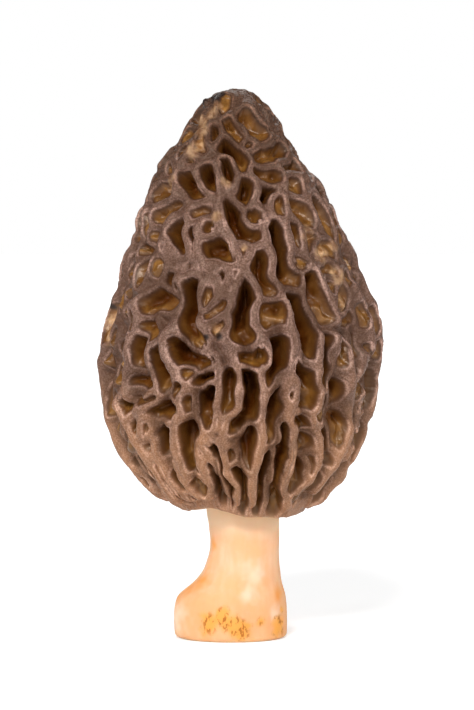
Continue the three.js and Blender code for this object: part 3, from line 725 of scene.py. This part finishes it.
def relief_map():
    """Maps of the relief's depth and lean, and of what the cap's material reads."""
    azimuth = np.linspace(-180, 180, MAP_AROUND, endpoint=False)
    length = np.linspace(0, SKIN_LENGTH, MAP_ALONG)
    radius, height = outline_at(length[:, None])
    grid = envelope(azimuth[None, :], radius, height)
    shape = grid.shape[:2]

    warp = np.stack([noise(grid, 2.6, seed) for seed in (1, 2, 3)], axis=-1)
    warp += FINE_WARP * np.stack([noise(grid, 1.3, seed) for seed in (4, 5, 6)], axis=-1)
    first, second, facts, across = nearest_pits((grid + PIT_WARP * warp).reshape(-1, 3), all_pits())
    first, second = first.reshape(shape), second.reshape(shape)
    pit_depth, half_width, tint, rise = np.moveaxis(facts.reshape(*shape, 4), -1, 0)
    from_rib = gap_to_ribs(grid + RIB_WARP * warp, FRONT_RIBS + swaying_ribs(BACK_RIBS, BACK_RIB_SWAY))
    from_limb = gap_to_ribs(grid + RIB_WARP * warp, swaying_ribs(LIMB_RIBS, LIMB_RIB_SWAY))

    inside = depth_into_pits(grid, height, first, second, from_rib, from_limb)
    run = np.minimum(half_width + PIT_EDGE, BOWL_RUN)
    share = 1 - (1 - np.clip((inside + WALL_LEAD) / run, 0, 1)) ** WALL_CURVE
    rounded = ROUNDED * np.clip(1 + inside / ROUNDING, 0, 1) ** 2

    lumps = noise(grid, size=1.9, seed=11)
    veins = bell(noise(grid * VEIN_STRETCH, size=2.6, seed=13), 0, VEIN_WIDTH)
    floor = PIT_DEEPENING * pit_depth * (1 + PIT_LUMPS[0] * lumps + PIT_TILT * rise)
    floor += PIT_LUMPS[1] * lumps - VEIN_HEIGHT * veins - ROUNDED
    level = np.abs(across[:, 2]) / np.maximum(np.linalg.norm(across, axis=1), 0.01)
    saddle = smoothstep(level.reshape(shape), *SADDLE_LEVEL) * smoothstep(second - first, *SADDLE_REACH)
    saddle = evened(saddle, SADDLE_ROUNDS)
    crest, spokes = crest_relief(grid, azimuth, height, inside, np.minimum(from_rib, from_limb), saddle)
    crest = np.maximum(crest + spokes * (1 - share), -HIGHEST_CREST)
    below = crest * (1 - share) + rounded + np.maximum(floor, LEAST_DEPTH) * share
    black = spotted_cap(grid, BLACK_SPOTS)
    below -= TUFT_RISE * black * smoothstep(height, *TUFT_FROM)

    under = smoothstep(length, *RELIEF_END)[:, None]
    fade = RIM_SHARE + (1 - RIM_SHARE) * smoothstep(height, *RIM_FADE)
    fade *= under * (1 - TIP_SHARE * smoothstep(height, *TIP_FADE))
    along, around = lip_lean(inside, length, radius, under)
    return dict(
        depth=below * fade,
        along=along,
        around=around,
        inside=inside,
        tint=tint,
        vein=veins,
        deep=below,
        pale=spotted_cap(grid, PALE_SPOTS),
        black=black,
    )


def read_map(values, azimuth, length):
    """A map's values, blended between its four nearest entries."""
    column = (azimuth + 180) / 360 * MAP_AROUND
    row = np.clip(length / SKIN_LENGTH, 0, 1) * (MAP_ALONG - 1)
    left = np.floor(column).astype(int)
    upper = np.minimum(np.floor(row).astype(int), MAP_ALONG - 2)
    u, v = column - left, row - upper
    left, right = left % MAP_AROUND, (left + 1) % MAP_AROUND
    top = values[upper, left] * (1 - u) + values[upper, right] * u
    bottom = values[upper + 1, left] * (1 - u) + values[upper + 1, right] * u
    return top * (1 - v) + bottom * v


# ---- Objects ----

def add_object(name, data):
    """An object for this data, put in the scene."""
    added = bpy.data.objects.new(name, data)
    bpy.context.scene.collection.objects.link(added)
    return added


def make_piece(name, points, faces, facts, material):
    """A mesh object in metres, with a named number on each of its points for every fact."""
    mesh = bpy.data.meshes.new(name)
    mesh.from_pydata(points * MM, [], faces)
    for fact, values in facts.items():
        mesh.attributes.new(fact, "FLOAT", "POINT").data.foreach_set("value", values.astype(np.float32))
    mesh.shade_smooth()
    mesh.materials.append(material)
    return add_object(name, mesh)


# ---- The cap's skin ----

def skin_rings():
    """The skin's points as rings from the tip down: each ring's length and its points' turns."""
    rings = []
    for i, length in enumerate(np.arange(SKIN_START, SKIN_LENGTH, SKIN_SPACING)):
        radius = outline_at(length)[0]
        count = max(LEAST_SIDES, round(2 * math.pi * radius / SKIN_SPACING))
        rings.append((length, (np.arange(count) + 0.5 * (i % 2)) * 2 * math.pi / count - math.pi))
    return rings


def zip_rings(upper, lower, upper_start, lower_start):
    """Triangles between two rings whose points lie at these turns."""
    faces = []
    i = j = 0
    while i < len(upper) or j < len(lower):
        next_upper = upper[i + 1] if i + 1 < len(upper) else upper[0] + 2 * math.pi
        next_lower = lower[j + 1] if j + 1 < len(lower) else lower[0] + 2 * math.pi
        a = upper_start + i % len(upper)
        b = lower_start + j % len(lower)
        if j == len(lower) or (i < len(upper) and next_upper < next_lower):
            i += 1
            faces.append((a, b, upper_start + i % len(upper)))
        else:
            j += 1
            faces.append((a, b, lower_start + j % len(lower)))
    return faces


def skin_points(azimuth, length, relief):
    """Points of the cap's skin: the envelope, less its relief."""
    radius, height = outline_at(length)
    slope = np.stack([np.interp(length, CAP_LENGTHS, CAP_SLOPES[:, axis]) for axis in (0, 1)])
    outward, upward = np.array([-slope[1], slope[0]]) / np.hypot(*slope)
    angle = np.radians(azimuth)
    sine, cosine = np.sin(angle), np.cos(angle)
    across = np.stack([sine, -cosine / DEPTH_SHARE], axis=-1)
    across /= np.linalg.norm(across, axis=1, keepdims=True)
    normal = np.column_stack([outward[:, None] * across, upward])
    along = np.column_stack([upward[:, None] * across, -outward])
    around = np.column_stack([cosine, sine, 0 * sine])
    points = envelope(azimuth, radius, height)
    points -= relief["depth"][:, None] * normal
    points += relief["along"][:, None] * along + relief["around"][:, None] * around
    lift = np.interp(azimuth, *np.array(RIM_LIFT, float).T)
    at_rim = smoothstep(length, *CURL_START) * smoothstep(length, SKIN_LENGTH, RIM_LENGTH)
    points[:, 2] += (lift + SCALLOP * relief["depth"]) * at_rim
    under = smoothstep(length, RIM_LENGTH, SKIN_LENGTH)
    points[:, 0] += under * (SOCKET_MIDDLE - middle_at(height))
    return points


def build_cap(material):
    """The cap's closed skin: its rings, zipped together from the tip to the top of the socket."""
    rings = skin_rings()
    maps = relief_map()
    turn = np.concatenate([turns for _, turns in rings])
    length = np.concatenate([np.full(len(turns), length) for length, turns in rings])
    azimuth = np.degrees(turn - SKIN_FOCUS * np.sin(turn))
    relief = {name: read_map(values, azimuth, length) for name, values in maps.items()}
    skin = skin_points(azimuth, length, relief)

    starts = np.cumsum([1] + [len(turns) for _, turns in rings])
    tip = skin[:len(rings[0][1])].mean(axis=0) + (0, 0, TIP_RISE)
    last = skin[starts[-2] - 1:starts[-1] - 1]
    socket = last * (1, 1, 0) + (0, 0, SOCKET_TOP)
    points = np.vstack([tip, skin, socket, (SOCKET_MIDDLE, 0, SOCKET_TOP)])
    faces = []
    count = len(rings[0][1])
    for k in range(count):
        faces.append((0, 1 + k, 1 + (k + 1) % count))
    for k, (above, below) in enumerate(zip(rings, rings[1:])):
        faces += zip_rings(above[1], below[1], starts[k], starts[k + 1])
    count = len(last)
    for k in range(count):
        a, b = starts[-2] + k, starts[-2] + (k + 1) % count
        faces.append((a, a + count, b + count))
        faces.append((a, b + count, b))
        faces.append((a + count, len(points) - 1, b + count))
    extra = len(points) - len(skin) - 1
    facts = {}
    for fact in ("inside", "tint", "vein", "deep", "pale", "black"):
        facts[fact] = np.concatenate([[relief[fact][0]], relief[fact], np.zeros(extra)])
    outer = smoothstep(length, *OUTSIDE_END)
    facts["outer"] = np.concatenate([[1], outer, np.zeros(extra)])
    return make_piece("morel_cap", points, faces, facts, material)


# ---- The stem ----

def around_stem(angle, left, right, height):
    """Points around the stem's rings, between their left and right edges."""
    half_width = (right - left) / 2
    x = (right + left) / 2 + half_width * np.sin(angle)
    y = -(STEM_DEPTH_BASE + STEM_DEPTH_SHARE * 2 * half_width) * np.cos(angle)
    return np.stack([x, y, height + 0 * x], axis=-1)


def build_stem(material):
    """Rings between the stem's left and right edges, with faint ribs and lumps, and a flat cut end."""
    edges = smooth_curve([(left, right, height) for height, left, right in STEM_EDGES], CURVE_STEPS)
    lengths = lengths_along(edges)
    rows = np.linspace(0, lengths[-1], STEM_ROWS)
    left, right, height = [np.interp(rows, lengths, edges[:, axis]) for axis in range(3)]
    angle = np.linspace(-math.pi, math.pi, STEM_SIDES, endpoint=False)
    skin = around_stem(angle, left[:, None], right[:, None], height[:, None])

    outward = np.stack([np.sin(angle), -np.cos(angle), 0 * angle], axis=-1)
    relief = np.zeros(skin.shape[:2])
    for amount, size, seed, flatness in STEM_RELIEF:
        relief += amount * noise(skin * (1, 1, flatness), size, seed)
    z = skin[..., 2]
    relief *= smoothstep(z, *STEM_SMOOTH_FOOT) * smoothstep(z, *STEM_SMOOTH_TOP)
    flare = STEM_FLARE * smoothstep(z, *STEM_FLARE_FROM)
    skin = skin + outward * (relief + flare)[..., None]

    centre = np.array([(left[0] + right[0]) / 2, 0, 0])
    shares = np.arange(1, STEM_END_RINGS) / STEM_END_RINGS
    end = np.array([skin[0] * share + centre * (1 - share) for share in shares])
    grid = np.vstack([end, skin])
    points = np.vstack([centre, grid.reshape(-1, 3), (SOCKET_MIDDLE, 0, STEM_TOP)])
    faces = []
    for k in range(STEM_SIDES):
        after = (k + 1) % STEM_SIDES
        faces.append((0, 1 + after, 1 + k))
        for row in range(len(grid) - 1):
            a, b = 1 + row * STEM_SIDES + k, 1 + row * STEM_SIDES + after
            faces.append((a, b, b + STEM_SIDES, a + STEM_SIDES))
        last = 1 + (len(grid) - 1) * STEM_SIDES
        faces.append((last + k, last + after, len(points) - 1))
    facts = {"cut": smoothstep(points[:, 2], *STEM_CUT_EDGE)}
    for mark, (inner, spots) in STEM_MARKS.items():
        azimuth, up, size = np.array(spots).T
        edges_there = [np.interp(up, height, side) for side in (left, right)]
        centres = around_stem(np.radians(azimuth), *edges_there, up)
        facts[mark] = spotted(points, centres, size, inner)
    return make_piece("morel_stem", points, faces, facts, material)


# ---- Materials ----

def srgb(red, green, blue):
    """A display colour, 0 to 255, as the linear colour that a shader takes."""
    linear = [c / 255 / 12.92 if c <= 10 else ((c / 255 + 0.055) / 1.055) ** 2.4 for c in (red, green, blue)]
    return (*linear, 1)


RIDGE = srgb(82, 52, 36)
LOW_RIDGE = srgb(148, 102, 68)
HIGH_RIDGE = srgb(46, 27, 16)
CLOUDED_RIDGE = srgb(70, 46, 35)
LOW_CLOUDED_RIDGE = srgb(104, 70, 46)
# Painted shade: ridges that lie deep below the cap's outline are darkened towards this
SUNK_RIDGE_SHADE = srgb(70, 43, 26)
# Pale speckle of the crests and lips: partly the ridges' own pale speckle, partly painted highlight
SPECKLE_SHEEN = srgb(204, 164, 148)
LOW_SPECKLE_SHEEN = srgb(232, 184, 156)
HIGH_SPECKLE_SHEEN = srgb(156, 114, 92)
OCHRE = srgb(102, 64, 18)
PALE_OCHRE = srgb(142, 96, 40)
DARK_OCHRE = srgb(90, 52, 12)
VEIN = srgb(168, 120, 66)
# Painted shade at the bottom of deep pits
PIT_BOTTOM_SHADE = srgb(70, 24, 0)
PIT_WALL = srgb(94, 56, 20)
TORN = srgb(138, 94, 56)
PALE_TORN = srgb(214, 170, 126)
WITHERED = srgb(34, 22, 20)
UNDERSIDE = srgb(205, 165, 125)

CREAM = srgb(238, 186, 144)
PALE_CREAM = srgb(242, 196, 158)
WARM_CREAM = srgb(238, 178, 126)
# Painted light: the top of the neck is brightened to lift the cap's shadow there
NECK_PAINTED_LIGHT = srgb(255, 222, 184)
FOOT = srgb(236, 166, 104)
WARM_MARK = srgb(238, 154, 70)
PALE_MARK = srgb(244, 212, 182)
BRUISE_HALO = srgb(240, 164, 56)
BRUISE = srgb(170, 94, 16)
CUT_FLESH = srgb(236, 204, 160)

PALE_FLOOR = srgb(240, 240, 240)
# Painted shade: the pits' colour darkens over these depths
DEEP = (1.6, 4.6)          # the pits darken over these depths


class Shader:
    """A material's node tree, with short calls for its nodes."""

    def __init__(self, name):
        self.material = bpy.data.materials.new(name)
        self.material.use_nodes = True
        self.tree = self.material.node_tree
        self.surface = self.tree.nodes["Principled BSDF"]

    def node(self, kind, **settings):
        node = self.tree.nodes.new(kind)
        for name, value in settings.items():
            setattr(node, name, value)
        return node

    def feed(self, socket, value):
        """Links a socket to another, or gives it a constant."""
        if isinstance(value, bpy.types.NodeSocket):
            self.tree.links.new(value, socket)
        else:
            socket.default_value = value

    def position(self):
        return self.node("ShaderNodeTexCoord").outputs["Object"]

    def finished(self, settings):
        """The material, with these settings of its surface."""
        for name, value in settings.items():
            self.feed(self.surface.inputs[name], value)
        return self.material

    def fact(self, name):
        return self.node("ShaderNodeAttribute", attribute_name=name).outputs["Fac"]

    def math(self, operation, a, b=0.0):
        node = self.node("ShaderNodeMath", operation=operation)
        self.feed(node.inputs[0], a)
        self.feed(node.inputs[1], b)
        return node.outputs[0]

    def times(self, a, b):
        return self.math("MULTIPLY", a, b)

    def ramp(self, value, low, high, to_low=0.0, to_high=1.0):
        """One level up to low and another from high on, with an eased change between them."""
        node = self.node("ShaderNodeMapRange", interpolation_type="SMOOTHSTEP")
        for socket, setting in zip(node.inputs, (value, low, high, to_low, to_high)):
            self.feed(socket, setting)
        return node.outputs["Result"]

    def bell(self, value, middle, width):
        """1 where the value is in the middle, falling to 0 at the width on both sides."""
        off = self.math("ABSOLUTE", self.math("SUBTRACT", value, middle))
        return self.ramp(off, 0.0, width, 1.0, 0.0)

    def noise(self, size, detail=2.0, stretch=(1, 1, 1), roughness=0.5):
        """Noise whose lumps are about size millimetres across."""
        scaled = self.node("ShaderNodeVectorMath", operation="MULTIPLY")
        self.feed(scaled.inputs[0], self.position())
        self.feed(scaled.inputs[1], stretch)
        node = self.node("ShaderNodeTexNoise")
        self.feed(node.inputs["Vector"], scaled.outputs[0])
        self.feed(node.inputs["Scale"], 1 / (size * MM))
        self.feed(node.inputs["Detail"], detail)
        self.feed(node.inputs["Roughness"], roughness)
        return node.outputs["Fac"]

    def mix(self, share, a, b):
        node = self.node("ShaderNodeMix", data_type="RGBA")
        self.feed(node.inputs[0], share)
        self.feed(node.inputs[6], a)
        self.feed(node.inputs[7], b)
        return node.outputs[2]

    def layered(self, colour, *layers):
        """A colour with others laid over it, each one (share, colour)."""
        for share, layer in layers:
            colour = self.mix(share, colour, layer)
        return colour

    def height(self):
        node = self.node("ShaderNodeSeparateXYZ")
        self.feed(node.inputs[0], self.position())
        return node.outputs["Z"]

    def bump(self, value, distance, strength, normal=None):
        node = self.node("ShaderNodeBump")
        self.feed(node.inputs["Strength"], strength)
        self.feed(node.inputs["Distance"], distance * MM)
        self.feed(node.inputs["Height"], value)
        if normal is not None:
            self.feed(node.inputs["Normal"], normal)
        return node.outputs["Normal"]


def cap_material():
    """Mauve-brown cords with pale speckled lips over smooth, moist, ochre pits; the speckle is partly
    painted highlight, and painted shade darkens deep pits and deep-lying cords.
    """
    s = Shader("morel_cap")
    inside = s.fact("inside")
    deep = s.fact("deep")
    height = s.height()
    speckle = s.noise(0.3, 3.0, roughness=0.6)
    cloud = s.noise(4.5, 3.0)
    wavy_height = s.math("ADD", height, s.times(cloud, 12 * MM))
    low_share = s.ramp(wavy_height, 36 * MM, 60 * MM, 1.0, 0.0)
    high_share = s.ramp(height, 72 * MM, 94 * MM)
    # How far a ridge lies below the outline: deep ridges get painted shade, thinner speckle and a duller
    # surface
    sunk = s.ramp(deep, 0.4, 2.2)
    crest = s.times(s.ramp(inside, -0.4, -0.15, 1.0, 0.0), s.ramp(sunk, 0.0, 1.0, 1.0, 0.4))
    on_lip = s.times(s.bell(inside, -0.35, 0.3), s.ramp(s.noise(2.2), 0.35, 0.65, 0.15, 1.0))

    speckle_sheen = s.layered(SPECKLE_SHEEN, (low_share, LOW_SPECKLE_SHEEN), (high_share, HIGH_SPECKLE_SHEEN))
    ridge = s.layered(
        RIDGE,
        (low_share, LOW_RIDGE),
        (high_share, HIGH_RIDGE),
        (s.ramp(cloud, 0.4, 0.75, 0.0, 0.5), s.mix(low_share, CLOUDED_RIDGE, LOW_CLOUDED_RIDGE)),
        # painted shade on ridges that lie deep
        (s.times(sunk, 0.7), SUNK_RIDGE_SHADE),
        # pale speckle on crests and lips, partly painted highlight
        (s.times(s.ramp(speckle, 0.4, 0.66, 0.1, 0.5), s.times(crest, 0.65)), speckle_sheen),
        (s.times(on_lip, s.times(s.ramp(speckle, 0.3, 0.6, 0.3, 0.9), crest)), speckle_sheen),
    )
    ochre = s.layered(
        OCHRE,
        (s.ramp(s.noise(1.8), 0.3, 0.7), PALE_OCHRE),
        (s.ramp(s.fact("tint"), 0.2, 1.0, 0.0, 0.6), DARK_OCHRE),
        (s.times(s.fact("vein"), 0.35), VEIN),
        # painted shade in the deep parts of the pits
        (s.ramp(deep, *DEEP, 0.0, 0.8), PIT_BOTTOM_SHADE),
    )
    wall = s.mix(s.ramp(inside, -0.1, 0.45), PIT_WALL, ochre)
    flesh = s.mix(s.ramp(s.noise(1.3, 3.0), 0.35, 0.65), TORN, PALE_TORN)
    outside = s.layered(
        ridge,
        (s.ramp(inside, -0.25, 0.05), wall),
        (s.times(s.fact("pale"), s.ramp(inside, -0.4, 0.1, 0.45, 0.8)), flesh),
        (s.fact("black"), WITHERED),
    )

    gloss = s.ramp(inside, -0.4, 0.2, 0.42, 0.2)
    dull = s.math("MAXIMUM", s.times(speckle, 0.1), s.times(sunk, 0.15))
    rounded = s.bump(s.ramp(inside, -0.8, 0.0, 1.0, 0.0), 0.4, 0.7)
    grain = s.bump(s.times(speckle, crest), 0.1, 0.7, rounded)
    return s.finished({
        "Base Color": s.mix(s.fact("outer"), UNDERSIDE, outside),
        "Roughness": s.math("ADD", gloss, dull),
        "Specular IOR Level": s.times(s.ramp(inside, -0.3, 0.1, 0.38, 0.7), s.ramp(deep, *DEEP, 1.0, 0.3)),
        "Specular Tint": (1, 0.82, 0.68, 1),
        "Subsurface Weight": 0.06,
        "Subsurface Radius": (1.0, 0.5, 0.2),
        "Subsurface Scale": 0.6 * MM,
        "Normal": s.bump(s.noise(0.9), 0.18, 0.6, grain),
    })


def stem_material():
    """Cream flesh with orange bruises near the foot, a paler cut end, and painted light on the neck under
    the cap.
    """
    s = Shader("morel_stem")
    height = s.height()
    streak = s.noise(1.4, stretch=(1, 1, 0.2))
    bruise = s.fact("bruise")
    scribble = s.ramp(s.noise(1.1, stretch=(1.5, 1.5, 0.9), roughness=0.6), 0.51, 0.62)
    colour = s.layered(
        CREAM,
        (s.ramp(streak, 0.3, 0.7), PALE_CREAM),
        (s.ramp(s.noise(5.0, 3.0), 0.38, 0.68, 0.0, 0.7), WARM_CREAM),
        # painted light that lifts the cap's shadow off the top of the neck
        (s.ramp(height, 18 * MM, 22 * MM, 0.0, 0.8), NECK_PAINTED_LIGHT),
        (s.ramp(height, 6 * MM, 15 * MM, 0.45, 0.0), FOOT),
        (s.times(s.fact("warm"), 0.85), WARM_MARK),
        (s.times(s.fact("pale"), 0.85), PALE_MARK),
        (s.times(bruise, 0.8), BRUISE_HALO),
        (s.times(s.times(scribble, bruise), 0.85), BRUISE),
        (s.fact("cut"), CUT_FLESH),
    )
    grain = s.bump(s.noise(0.5, 3.0), 0.05, 0.6)
    return s.finished({
        "Base Color": colour,
        "Roughness": 0.62,
        "Specular IOR Level": 0.35,
        "Subsurface Weight": 0.45,
        "Subsurface Radius": (1.0, 0.5, 0.3),
        "Subsurface Scale": 2.5 * MM,
        "Normal": s.bump(streak, 0.1, 0.6, grain),
    })


# ---- Stage, light and camera ----

FLOOR_REACH = 3.0          # metres, to each side
FLOOR_WHITE = 0.35         # white that the camera sees added to the lit floor
AMBIENT = 0.13             # even light from all around
# Soft, distant lamps: (name, azimuth, elevation, strength, softness), with angles in degrees
SUNS = [
    ("front", -12, 36, 1.9, 14),
    ("left", -60, 28, 1.1, 26),
    ("right", 56, 28, 1.1, 26),
    ("low", -5, 4, 0.52, 34),
    ("back", 175, 45, 1.0, 40),
]
CAMERA_TARGET = (-0.63, 0, 51.3)
CAMERA_DISTANCE = 620
CAMERA_ELEVATION = 3       # degrees
CAMERA_LENS = 173.6


def toward(azimuth, elevation):
    """The direction of something seen from the mushroom at these angles, in degrees."""
    turn, rise = math.radians(azimuth), math.radians(elevation)
    return Vector((math.sin(turn) * math.cos(rise), -math.cos(turn) * math.cos(rise), math.sin(rise)))


def build_floor():
    """A pale floor that keeps the mushroom's shadow and looks white to the camera elsewhere."""
    reach = FLOOR_REACH
    mesh = bpy.data.meshes.new("floor")
    corners = [(-reach, -reach, 0), (reach, -reach, 0), (reach, reach, 0), (-reach, reach, 0)]
    mesh.from_pydata(corners, [], [(0, 1, 2, 3)])
    s = Shader("floor")
    white = s.node("ShaderNodeEmission")
    seen = s.node("ShaderNodeLightPath").outputs["Is Camera Ray"]
    s.feed(white.inputs["Strength"], s.times(seen, FLOOR_WHITE))
    both = s.node("ShaderNodeAddShader")
    s.feed(both.inputs[0], s.surface.outputs[0])
    s.feed(both.inputs[1], white.outputs[0])
    s.feed(s.tree.nodes["Material Output"].inputs["Surface"], both.outputs[0])
    material = s.finished({"Base Color": PALE_FLOOR, "Roughness": 0.9, "Specular IOR Level": 0.0})
    mesh.materials.append(material)
    add_object("floor", mesh)


def build_world():
    """Soft even light from a pale sky, which the camera sees as white."""
    world = bpy.data.worlds.new("studio")
    bpy.context.scene.world = world
    world.use_nodes = True
    nodes, links = world.node_tree.nodes, world.node_tree.links
    sky = nodes["Background"]
    sky.inputs["Color"].default_value = (1, 1, 1, 1)
    strength = nodes.new("ShaderNodeMapRange")
    strength.inputs["To Min"].default_value = AMBIENT
    strength.inputs["To Max"].default_value = 1.0
    links.new(nodes.new("ShaderNodeLightPath").outputs["Is Camera Ray"], strength.inputs["Value"])
    links.new(strength.outputs["Result"], sky.inputs["Strength"])


def add_sun(name, azimuth, elevation, strength, softness):
    lamp = bpy.data.lights.new(name, "SUN")
    lamp.energy = strength
    lamp.angle = math.radians(softness)
    sun = add_object(name, lamp)
    sun.rotation_euler = toward(azimuth, elevation).to_track_quat("Z", "Y").to_euler()


def build_camera():
    data = bpy.data.cameras.new("camera")
    data.lens = CAMERA_LENS
    camera = add_object("camera", data)
    back = toward(0, CAMERA_ELEVATION)
    camera.location = (Vector(CAMERA_TARGET) + back * CAMERA_DISTANCE) * MM
    camera.rotation_euler = (-back).to_track_quat("-Z", "Y").to_euler()
    bpy.context.scene.camera = camera


bpy.context.scene.view_settings.view_transform = "Standard"
build_camera()
build_world()
build_floor()
for sun in SUNS:
    add_sun(*sun)

cap = build_cap(cap_material())
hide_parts("cap")
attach(cap, "root")

stem = build_stem(stem_material())
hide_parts("stem")
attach(stem, "root")
